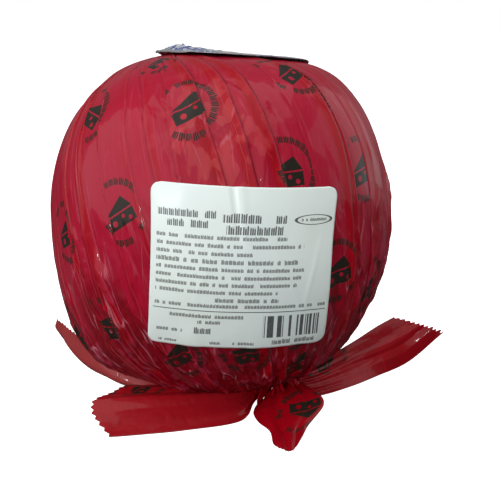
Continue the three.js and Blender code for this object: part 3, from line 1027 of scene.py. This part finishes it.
def build_seal(settings, material):
    """A foil disc pressed over the crown, crinkled where the bunched pleats push it up."""
    sides = square_to(SEAL_AXIS, np.array([1.0, 0.0, 0.0]))
    reach = np.linspace(0, SEAL_RADIUS, SEAL_RINGS + 1)[1:]
    turn = np.linspace(0, WHOLE_TURN, SEAL_SEGMENTS, endpoint=False)
    distance, turn = np.meshgrid(reach, turn, indexing="ij")
    distance = np.concatenate([[0], distance.ravel()])
    turn = np.concatenate([[0], turn.ravel()])
    directions = direction_about(SEAL_AXIS, sides, distance / HALF_HEIGHT, turn)
    crease = ridges(directions * 30 + 30, 31) ** 4 + 0.6 * ridges(directions * 62 + 30, 32) ** 4
    near = bell(angle_between(directions, PLEATS_MEET_ABOVE) * HALF_HEIGHT, 17 * MM)
    edge = smooth_step(distance, SEAL_RADIUS - 7 * MM, SEAL_RADIUS)
    wave = lattice_noise(np.stack([np.cos(turn) * 3, np.sin(turn) * 3, turn * 0], -1) + 20, 33)
    lift = settings.seal_lift + crown(directions) + crease * near * 1.3 * MM
    lift = lift + edge * (wave * 0.35 + 0.15) * MM
    lift = lift + 0.1 * MM * lattice_noise(directions * 45 + 30, 34)
    points = sheet_points(directions, lift, settings.seal_thickness)
    layer = len(directions)
    faces = []

    def at(ring, c):
        return 1 + ring * SEAL_SEGMENTS + c % SEAL_SEGMENTS

    for c in range(SEAL_SEGMENTS):
        faces.append((0, at(0, c), at(0, c + 1)))
        faces.append((layer, layer + at(0, c + 1), layer + at(0, c)))
        for ring in range(SEAL_RINGS - 1):
            a, b, e, d = at(ring, c), at(ring + 1, c), at(ring + 1, c + 1), at(ring, c + 1)
            faces.append((a, b, e, d))
            faces.append((layer + a, layer + d, layer + e, layer + b))
        a, b = at(SEAL_RINGS - 1, c), at(SEAL_RINGS - 1, c + 1)
        faces.append((a, layer + a, layer + b, b))
    piece = new_object("seal_disc", points, faces, material)
    sheet_map(piece, "sheet", distance * np.cos(turn), distance * np.sin(turn))
    return piece


# ---------------------------------------------------------------------------------------------
# Tails

# Rows of points in millimetres, from the foot to the cut end; each row goes across the strip.
TAILS = {
    "front_left": [
        [[13, -39, 2.5], [13, -35, 6], [12, -31, 7], [11, -26, 7]],
        [[7, -53.5, 0.5], [4, -44, 6.5], [3, -37, 8.5], [2, -29, 8.5]],
        [[-15, -61.8, 0.4], [-16, -51, 8], [-16, -43, 9.5], [-15, -34, 10]],
        [[-32, -65.5, 0.4], [-37, -53.5, 8], [-32, -44.5, 10], [-26, -36.5, 10.5]],
        [[-45, -67.7, 0.4], [-53.5, -53.5, 6.6], [-45, -43.8, 10.2], [-34, -38, 10.3]],
    ],
    "front_right": [
        [[16, -36, 3], [22, -35, 7], [28, -34, 8], [34, -32, 8]],
        [[12.5, -46, 1.5], [22, -46, 6], [31, -45, 8], [39.5, -42, 8]],
        [[14, -55, 0.8], [22, -57, 3.5], [32, -56, 5.5], [41, -51, 6]],
        [[18.3, -64, 0.5], [22.5, -67, 2], [28, -66, 2.5], [34, -61.5, 1.8]],
        [[19, -75, 0.5], [23, -77.5, 1.4], [27, -76, 1.4], [31, -70, 0.9]],
        [[20, -78, 0.4], [23.5, -82, 0.5], [26.5, -82, 0.5], [28.5, -77, 0.5]],
    ],
    "right": [
        [[26, -34, 3], [28, -31, 7], [27, -26, 9]],
        [[40, -28, 0.6], [40, -23, 6.5], [39, -17, 10]],
        [[56, -17, 0.5], [54, -12, 8], [51.8, -5, 13.1]],
        [[70, -4.5, 0.8], [68, -2, 10], [62, 2.5, 16.5]],
        [[86, 5.5, 4], [81, 5, 13.5], [71, 8, 20.3]],
        [[102.7, 8, 17.7], [92, 8, 21.5], [79.8, 12, 23.6]],
    ],
    "left": [
        [[10, -34, 4], [8, -31, 4], [6, -28, 4], [6, -25, 4]],
        [[-14, -36, 4.5], [-20, -30, 4.5], [-26, -25, 4.5], [-28, -19, 4]],
        [[-28, -39, 7], [-40, -33, 8.5], [-50, -26, 10.5], [-54, -15, 12]],
        [[-27, -40, 9], [-45, -35, 12], [-62, -24, 18], [-71, -14, 26]],
        [[-24, -38, 10.3], [-42, -34, 18.5], [-60, -25.5, 27.5], [-71, -18, 33.4]],
    ],
    "back_right": [
        [[30, -27, 3], [33, -26, 6], [36, -24, 3]],
        [[34, -8, 2], [42, -6, 5], [49, -9, 2]],
        [[38, 16, 2], [46, 18, 6], [54, 15, 2]],
        [[34, 42, 1], [43, 45, 6], [52, 40, 1]],
        [[24, 64, 0.6], [36, 69, 3], [46, 61, 0.6]],
    ],
    "back_left": [
        [[4, -28, 2.5], [4, -31, 4], [5, -34, 2.5]],
        [[-21, -19, 2], [-24, -24, 4], [-27, -29, 2]],
        [[-34, 3, 2], [-41, 1, 5], [-48, -3, 2]],
        [[-36, 28, 1], [-45, 29, 6], [-54, 24, 1]],
        [[-32, 53, 0.6], [-42, 57, 3.5], [-56, 47, 0.6]],
    ],
}
# For each tail: teeth along its cut end, how much painted reflection lightens it, where its
# printed mark lies (across, along), and its lengthwise creases (across at the foot, across at
# the cut end, height in millimetres).
TAIL_DETAILS = {
    "front_left": (15, 0.05, (0.72, 0.82), ((0.45, 0.42, 1.3), (0.75, 0.8, 0.6))),
    "front_right": (9, 0.0, (0.72, 0.4), ((0.3, 0.45, 1.0), (0.7, 0.75, 0.7))),
    "right": (11, 0.0, (0.85, 0.3), ((0.5, 0.4, 1.0), (0.75, 0.68, 0.6))),
    "left": (24, 0.5, (0.3, 0.35), ((0.4, 0.5, 0.6),)),
    "back_right": (10, 0.1, (0.5, 0.8), ((0.4, 0.5, 0.8),)),
    "back_left": (12, 0.2, (0.5, 0.75), ((0.6, 0.5, 0.8),)),
}


def stretch(share, count):
    """Which stretch of a curve of count points each share lies on, and its part of it."""
    place = np.clip(share, 0, 1) * (count - 1)
    index = np.minimum(place.astype(int), count - 2)
    return index, (place - index)[:, None]


def with_ends(points):
    """The points with one more at each end of axis 0, where their line would go on."""
    return np.concatenate([[2 * points[0] - points[1]], points, [2 * points[-1] - points[-2]]])


def catmull_rom(a, b, c, d, part):
    return 0.5 * (2 * b + (c - a) * part + (2 * a - 5 * b + 4 * c - d) * part**2
                  + (3 * b - a - 3 * c + d) * part**3)


def tail_surface(rows, across, along):
    """Points of the strip's middle surface for flat arrays of across and along."""
    net = np.array(rows, float) * MM
    index, part = stretch(along, len(net))
    ends = with_ends(net)
    lanes = catmull_rom(*(ends[index + k] for k in range(4)), part[..., None])
    lanes = lanes.swapaxes(0, 1)
    index, part = stretch(across, len(lanes))
    ends = with_ends(lanes)
    number = np.arange(len(across))
    return catmull_rom(*(ends[index + k, number] for k in range(4)), part)


TAIL_ROWS = 76
COLUMNS_PER_TOOTH = 6
TOOTH_DEPTH, TOOTH_RAGGEDNESS = 0.02, 0.006  # shares of a tail's length
FOOT_FOLD_HEIGHT = 0.55 * MM
CREASE_WIDTH = 0.16  # share of a tail's width
CRUMPLE_HEIGHT = 0.35 * MM
SLOPE_STEP = 0.004  # share of a tail over which its slope is measured


def surface_normals(net, across, along):
    """Unit normals of a tail's middle surface."""

    def slope(across_step, along_step):
        ahead = (np.minimum(across + across_step, 1), np.minimum(along + along_step, 1))
        behind = (np.maximum(across - across_step, 0), np.maximum(along - along_step, 0))
        return tail_surface(net, *ahead) - tail_surface(net, *behind)

    return unit(np.cross(slope(SLOPE_STEP, 0), slope(0, SLOPE_STEP)))


def build_tail(name, settings, material):
    teeth, pale, mark, creases = TAIL_DETAILS[name]
    columns = teeth * COLUMNS_PER_TOOTH
    across, along = (shares.ravel() for shares in strip_grid(columns, TAIL_ROWS))
    net = TAILS[name]
    seed = sum(map(ord, name))
    tooth = 1 - np.abs((across * teeth) % 1 - 0.5) * 2
    ragged = lattice_noise(np.stack([across * teeth, across * 0, across * 0], -1) + 9, seed)
    cut_back = (tooth * TOOTH_DEPTH + TOOTH_RAGGEDNESS * ragged) * smooth_step(along, 0.85, 1)
    along_cut = np.minimum(along * (1 - cut_back), 1)
    centre = tail_surface(net, across, along_cut)
    normal = surface_normals(net, across, along_cut)
    # folds that fan out of the foot, sharp creases along the strip, and slight crumples
    rooted = (1 - along) ** 3.5
    phase = seed % 7
    folds = np.sin(across * 26 + phase) + 0.6 * np.sin(across * 43 + 2 * phase + along * 3)
    height = folds * FOOT_FOLD_HEIGHT * rooted
    for start, end, tall in creases:
        line = across - (start + (end - start) * along)
        tent = np.clip(1 - np.abs(line) / CREASE_WIDTH, 0, 1)
        height = height + tall * MM * tent * smooth_step(along, 0.1, 0.4)
    creased = np.stack([across * 5, along * 2.5, across * 0], -1) + 12
    crumple = ridges(creased, seed + 1) ** 4 - 0.3
    height = height + crumple * CRUMPLE_HEIGHT * (0.4 + 0.6 * along)
    centre = centre + normal * height[:, None]
    half = settings.tail_thickness / 2
    outer, inner = centre + normal * half, centre - normal * half
    floor = FILM_LOW[2] + 0.05 * MM
    outer[:, 2] = np.maximum(outer[:, 2], floor + 2 * half * (normal[:, 2] > 0))
    inner[:, 2] = np.maximum(inner[:, 2], floor + 2 * half * (normal[:, 2] <= 0))
    points = np.concatenate([outer, inner])
    piece = new_object(f"film_tail_{name}", points, slab_faces(columns, TAIL_ROWS), material)
    grid = centre.reshape(TAIL_ROWS + 1, columns + 1, 3)
    width = np.linalg.norm(np.diff(grid, axis=1), axis=2).sum(1)
    length = np.linalg.norm(np.diff(grid, axis=0), axis=2).sum(0).mean()
    wide = float(width.max())
    sheet_map(piece, "print", (across - mark[0]) * wide, (along - mark[1]) * length)
    point_attribute(piece, "pale", np.full(len(points), pale))
    declare(piece, "film_wrap")
    return piece


# ---------------------------------------------------------------------------------------------
# Gathered foot: folds of film instanced round the neck by Geometry Nodes

FOOT_MIDDLE = Vector((22 * MM, -28 * MM, 0.0))


def fold_mesh():
    """One folded leaf of film, standing up from the origin and leaning outwards along +X."""
    steps, sides = 10, 4
    points = []
    for side in (1, -1):
        for i in range(steps + 1):
            share = i / steps
            out = (3.0 + 13.0 * share) * MM
            middle = (8.0 - 5.5 * share + 1.5 * math.sin(3.2 * share)) * MM
            half = (4.0 - 2.2 * share) * MM
            for k in range(sides + 1):
                up = k / sides * 2 - 1
                bulge = (0.55 * math.cos(up * 1.5) * math.cos(share * 5) + 0.25 * side) * MM
                points.append((out, bulge, middle + up * half))
    faces = slab_faces(sides, steps)
    mesh = bpy.data.meshes.new("fold_leaf")
    mesh.from_pydata(points, [], [tuple(reversed(face)) for face in faces])
    mesh.update()
    leaf = bpy.data.objects.new("fold_leaf", mesh)
    bpy.context.scene.collection.objects.link(leaf)
    return leaf


FOOT_RING_RADIUS = 1.0 * MM


def foot_tree(leaf, material, sizes):
    """A ring of instanced leaves, with a named input for each of its sizes."""
    tree = bpy.data.node_groups.new("Gathered Foot", "GeometryNodeTree")
    face = tree.interface
    face.new_socket("Geometry", in_out="INPUT", socket_type="NodeSocketGeometry")
    for name, (kind, value) in sizes.items():
        face.new_socket(name, in_out="INPUT", socket_type=kind).default_value = value
    face.new_socket("Geometry", in_out="OUTPUT", socket_type="NodeSocketGeometry")
    nodes = Nodes(tree)
    folds, radius, seed = (nodes.node("NodeGroupInput").output(name) for name in sizes)
    number = nodes.node("GeometryNodeInputIndex")

    def random(kind, low, high, seed, output):
        first = 2 if kind == "FLOAT" else 0
        inputs = {first: low, first + 1: high, "ID": number, "Seed": seed}
        return nodes.node("FunctionNodeRandomValue", {"data_type": kind}, inputs, output)

    ring = nodes.node("GeometryNodeMeshCircle", (), {"Vertices": folds, "Radius": radius})
    source = nodes.node("GeometryNodeObjectInfo", (), {"Object": leaf, "As Instance": True})
    spin = number / folds * WHOLE_TURN + random("FLOAT", -0.12, 0.12, seed, 1)
    tip = random("FLOAT", -0.3, 0.3, 8, 1)
    leaves = {
        "Points": ring,
        "Instance": source.output("Geometry"),
        "Rotation": nodes.node("ShaderNodeCombineXYZ", (), {0: tip, 2: spin}),
        "Scale": random("FLOAT_VECTOR", (0.75, 0.7, 0.8), (1.05, 1.3, 1.15), 9, 0),
    }
    whole = nodes.node("GeometryNodeInstanceOnPoints", (), leaves)
    whole = nodes.node("GeometryNodeRealizeInstances", (), {0: whole})
    whole = nodes.node("GeometryNodeSetMaterial", (), {0: whole, "Material": material})
    tree.links.new(whole.socket, tree.nodes.new("NodeGroupOutput").inputs[0])
    return tree


def build_foot(settings, material):
    leaf = fold_mesh()
    sizes = {
        "Folds": ("NodeSocketInt", settings.foot_folds),
        "Ring Radius": ("NodeSocketFloat", FOOT_RING_RADIUS),
        "Seed": ("NodeSocketInt", settings.seed),
    }
    tree = foot_tree(leaf, material, sizes)
    holder = new_object("foot_holder", [(0, 0, 0), (MM, 0, 0), (0, MM, 0)], [(0, 1, 2)], material)
    modifier = holder.modifiers.new("folds", "NODES")
    modifier.node_group = tree
    for item in tree.interface.items_tree:
        if item.in_out == "INPUT" and item.name in sizes:
            modifier[item.identifier] = sizes[item.name][1]
    bpy.context.view_layer.update()
    ready = holder.evaluated_get(bpy.context.evaluated_depsgraph_get())
    mesh = bpy.data.meshes.new_from_object(ready)
    bpy.data.objects.remove(holder)
    bpy.data.objects.remove(leaf)
    count = len(mesh.vertices)
    points = np.empty(count * 3)
    mesh.vertices.foreach_get("co", points)
    points = points.reshape(-1, 3) + np.array(FOOT_MIDDLE)
    points[:, 2] = np.maximum(points[:, 2], FILM_LOW[2] + 0.1 * MM)
    mesh.vertices.foreach_set("co", points.ravel())
    mesh.name = "film_foot"
    piece = bpy.data.objects.new("film_foot", mesh)
    bpy.context.scene.collection.objects.link(piece)
    corner_map(piece, "print", lambda faces, vertices: np.full((len(vertices), 2), NO_PRINT))
    return declare(piece, "film_wrap")


# ---------------------------------------------------------------------------------------------
# Add-on


def colour_property(name, description, default):
    return bpy.props.FloatVectorProperty(
        name=name, description=description, default=default, subtype="COLOR", min=0, max=1
    )


def length_property(name, description, default):
    return bpy.props.FloatProperty(
        name=name, description=description, default=default, unit="LENGTH"
    )


def number_property(name, description, default):
    return bpy.props.FloatProperty(name=name, description=description, default=default)


class CheeseFilmSettings(bpy.types.PropertyGroup):
    seed: bpy.props.IntProperty(name="Seed", description="Fixes the folds on the back", default=7)
    column_spacing: length_property("Column spacing", "Mesh step between pleats", 1.45 * MM)
    tail_thickness: length_property("Tail thickness", "Thickness of the free film", 0.3 * MM)
    foot_folds: bpy.props.IntProperty(
        name="Foot folds", description="Folds in the gathered foot", default=30
    )
    film_deep: colour_property("Deep red", "Film lying tight on the cheese", (0.32, 0.002, 0.018))
    film_lit: colour_property("Lit red", "Film standing a little off the cheese", (0.4, 0.005, 0.032))
    # painted highlight on the crumpled facets of the slack film above the label
    film_slack_highlight: colour_property("Slack red", "Film standing slack above the label", (0.5, 0.06, 0.05))
    # painted reflection on crumpled facets, and painted highlight along the lips of folds
    film_sheen_highlight: colour_property("Hazy red", "Crumpled facets, and the lips of folds", (0.45, 0.045, 0.1))
    film_strip: colour_property("Strip red", "Three layers in a pleat", (0.34, 0.0, 0.005))
    # painted reflection that lightens some tails towards pinkish brown
    film_tail_reflection: colour_property("Pale red", "A tail seen against the light", (0.34, 0.1, 0.095))
    # painted highlight on crease lines and on streaks down the film
    film_crease_highlight: colour_property("Crease", "Whitened creases", (0.62, 0.2, 0.26))
    # both the darker layered film and painted shade: shadow lines, dark shards, the lower half, tail
    # facets
    film_layers_and_shade: colour_property("Fold red", "Layers of film pressed together", (0.18, 0.001, 0.005))
    film_loose: colour_property("Tail red", "Free film with nothing behind it", (0.31, 0.001, 0.007))
    print_ink: colour_property("Print", "The film's dark print", (0.018, 0.014, 0.01))


class CheeseLabelSettings(bpy.types.PropertyGroup):
    label_corner: length_property("Corner radius", "Rounding of the label's corners", 4 * MM)
    label_lift: length_property("Lift", "Label's face over the wrapped surface", 1.0 * MM)
    label_thickness: length_property("Thickness", "Paper thickness", 0.25 * MM)
    seal_lift: length_property("Seal lift", "Seal's face over the wrapped surface", 1.3 * MM)
    seal_thickness: length_property("Seal thickness", "Foil thickness", 0.3 * MM)
    paper: colour_property("Paper", "Label paper", (0.86, 0.94, 0.87))
    paper_cool: colour_property("Cool paper", "Label paper where it turns bluish", (0.78, 0.88, 0.88))
    ink: colour_property("Ink", "Label ink", (0.012, 0.012, 0.014))
    seal_silver: colour_property("Silver", "Bare foil", (0.62, 0.66, 0.7))
    seal_blue: colour_property("Blue", "Blue band of the seal", (0.07, 0.11, 0.36))
    seal_pale: colour_property("Pale", "Pale print of the seal", (0.85, 0.87, 0.9))
    rind_pale: colour_property("Pale rind", "Cheese where it is palest", (0.85, 0.62, 0.28))
    rind_gold: colour_property("Gold rind", "Cheese where it is darkest", (0.72, 0.42, 0.12))


class CheeseStageSettings(bpy.types.PropertyGroup):
    floor_size: length_property("Floor size", "Side of the pale floor", 12.0)
    floor_colour: colour_property("Floor", "Colour of the floor", (0.85, 0.85, 0.85))
    floor_glow: number_property("Floor glow", "Keeps the floor pale", 1.1)
    floor_bounce: number_property("Floor bounce", "Light thrown back up", 0.1)
    surroundings: number_property("Surroundings", "Light of the room", 0.2)
    camera_distance: length_property("Camera distance", "From the ball's centre", 0.45)
    camera_height: bpy.props.FloatProperty(
        name="Camera height", description="Angle above level", default=math.radians(12), unit="ROTATION"
    )
    lens: number_property("Lens", "Focal length in millimetres", 73.7)


WHITE = (1.0, 1.0, 1.0)
AIM_ASIDE = 12.3 * MM  # the ball stands left of and above the middle of the picture
# Each lamp's name, turn to the right and elevation in degrees, distance, size and power.
LAMPS = (
    ("key", -10, 20, 1.1, 1.35, 5.2),
    ("spark", 10, 8, 1.2, 0.06, 0.9),
    ("low_spark", -32, 7, 1.1, 0.07, 2.0),
    ("left_panel", -72, 24, 1.0, 1.2, 6.0),
    ("right_panel", 108, 14, 1.0, 1.2, 4.0),
    ("overhead_panel", 10, 82, 1.0, 1.2, 5.5),
)


class CHEESE_OT_cheese(bpy.types.Operator):
    """Give the cheese its rind"""

    bl_idname = "cheese.rind"
    bl_label = "Cheese"

    def execute(self, context):
        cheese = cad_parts["cheese_ball"]
        material = cheese_finish(context.scene.cheese_label)
        if cheese.material_slots:
            for slot in cheese.material_slots:
                slot.material = material
        else:
            cheese.data.materials.append(material)
        return {"FINISHED"}


class CHEESE_OT_film(bpy.types.Operator):
    """Wrap the ball in pleated film"""

    bl_idname = "cheese.film"
    bl_label = "Film skin"

    def execute(self, context):
        settings = context.scene.cheese_film
        piece = FilmSkin(settings).build(film_finish("film_red_tight", settings))
        declare(piece, "film_wrap")
        return {"FINISHED"}


class CHEESE_OT_tails(bpy.types.Operator):
    """Lay out the film's gathered foot and its tails"""

    bl_idname = "cheese.tails"
    bl_label = "Foot and tails"

    def execute(self, context):
        settings = context.scene.cheese_film
        material = film_finish("film_red_loose", settings, loose=True)
        for name in TAILS:
            build_tail(name, settings, material)
        build_foot(settings, material)
        return {"FINISHED"}


class CHEESE_OT_label(bpy.types.Operator):
    """Stick the printed label on the front"""

    bl_idname = "cheese.label"
    bl_label = "Label"

    def execute(self, context):
        settings = context.scene.cheese_label
        declare(build_label(settings, label_finish(settings)), "product_label")
        return {"FINISHED"}


class CHEESE_OT_seal(bpy.types.Operator):
    """Stick the round seal on the top"""

    bl_idname = "cheese.seal"
    bl_label = "Top seal"

    def execute(self, context):
        settings = context.scene.cheese_label
        declare(build_seal(settings, seal_finish(settings)), "top_seal")
        return {"FINISHED"}


class CHEESE_OT_stage(bpy.types.Operator):
    """Set up the floor, the lights and the camera"""

    bl_idname = "cheese.stage"
    bl_label = "Stage"

    def execute(self, context):
        settings = context.scene.cheese_stage
        scene = context.scene
        scene.view_settings.view_transform = "Standard"
        half = settings.floor_size / 2
        corners = [(-half, -half, 0), (half, -half, 0), (half, half, 0), (-half, half, 0)]
        new_object("floor", corners, [(0, 1, 2, 3)], self.floor_finish(settings))
        scene.world = self.surroundings(settings)
        middle = Vector(CENTRE)
        for name, turn, elevation, distance, size, power in LAMPS:
            light = bpy.data.lights.new(name, "AREA")
            light.size = size
            light.energy = power
            lamp = bpy.data.objects.new(name, light)
            turn, elevation = math.radians(turn), math.radians(elevation)
            level = math.cos(elevation)
            place = Vector((level * math.sin(turn), -level * math.cos(turn), math.sin(elevation)))
            lamp.location = middle + place * distance
            lamp.rotation_euler = place.to_track_quat("Z", "Y").to_euler()
            scene.collection.objects.link(lamp)
        self.place_camera(scene, settings, middle)
        return {"FINISHED"}

    @staticmethod
    def floor_finish(settings):
        """A pale floor that looks evenly lit, and throws little light back up."""
        finish = Finish("floor_plain")
        bright = finish.node("ShaderNodeBsdfDiffuse", (), {0: opaque(settings.floor_colour)})
        glow = finish.node("ShaderNodeEmission", (), {0: opaque(WHITE), 1: settings.floor_glow})
        dim = finish.node("ShaderNodeBsdfDiffuse", (), {0: opaque([settings.floor_bounce] * 3)})
        seen = finish.node("ShaderNodeAddShader", (), {0: bright, 1: glow})
        both = finish.node("ShaderNodeMixShader", (), {0: finish.camera_sees(), 1: dim, 2: seen})
        output = finish.tree.nodes["Material Output"]
        finish.tree.links.new(both.socket, output.inputs["Surface"])
        return finish.material

    @staticmethod
    def surroundings(settings):
        world = bpy.data.worlds.new("studio")
        world.use_nodes = True
        nodes = Nodes(world.node_tree)
        background = nodes.tree.nodes["Background"]
        background.inputs[0].default_value = opaque(WHITE)
        seen = nodes.camera_sees()
        strength = seen + (1 - seen) * settings.surroundings
        nodes.tree.links.new(strength.socket, background.inputs[1])
        return world

    @staticmethod
    def place_camera(scene, settings, middle):
        height = settings.camera_height
        back = Vector((0, -math.cos(height), math.sin(height)))
        up = Vector((0, math.sin(height), math.cos(height)))
        aim = middle + Vector((AIM_ASIDE, 0, 0)) - up * AIM_ASIDE
        camera = bpy.data.objects.new("camera", bpy.data.cameras.new("camera"))
        camera.data.lens = settings.lens
        camera.data.sensor_width = 36
        camera.data.clip_start = 0.01
        camera.location = middle + back * settings.camera_distance
        camera.rotation_euler = (aim - camera.location).to_track_quat("-Z", "Y").to_euler()
        scene.collection.objects.link(camera)
        scene.camera = camera


OPERATORS = (CHEESE_OT_stage, CHEESE_OT_cheese, CHEESE_OT_film, CHEESE_OT_tails, CHEESE_OT_label,
             CHEESE_OT_seal)


class CHEESE_PT_panel(bpy.types.Panel):
    """The builder's buttons and settings"""

    bl_idname = "CHEESE_PT_panel"
    bl_label = "Wrapped Cheese"
    bl_space_type = "VIEW_3D"
    bl_region_type = "UI"
    bl_category = "Cheese"

    def draw(self, context):
        for operator in OPERATORS:
            self.layout.operator(operator.bl_idname)
        for group in ("cheese_film", "cheese_label", "cheese_stage"):
            settings = getattr(context.scene, group)
            box = self.layout.box()
            for name in settings.__annotations__:
                box.prop(settings, name)


GROUPS = {"cheese_film": CheeseFilmSettings, "cheese_label": CheeseLabelSettings,
          "cheese_stage": CheeseStageSettings}


def register():
    for cls in (*GROUPS.values(), *OPERATORS, CHEESE_PT_panel):
        bpy.utils.register_class(cls)
    for name, cls in GROUPS.items():
        setattr(bpy.types.Scene, name, bpy.props.PointerProperty(type=cls))


def unregister():
    for name in GROUPS:
        delattr(bpy.types.Scene, name)
    for cls in reversed((*GROUPS.values(), *OPERATORS, CHEESE_PT_panel)):
        bpy.utils.unregister_class(cls)


def main():
    register()
    for operator in OPERATORS:
        group, name = operator.bl_idname.split(".")
        getattr(getattr(bpy.ops, group), name)()


if __name__ == "__main__":
    main()
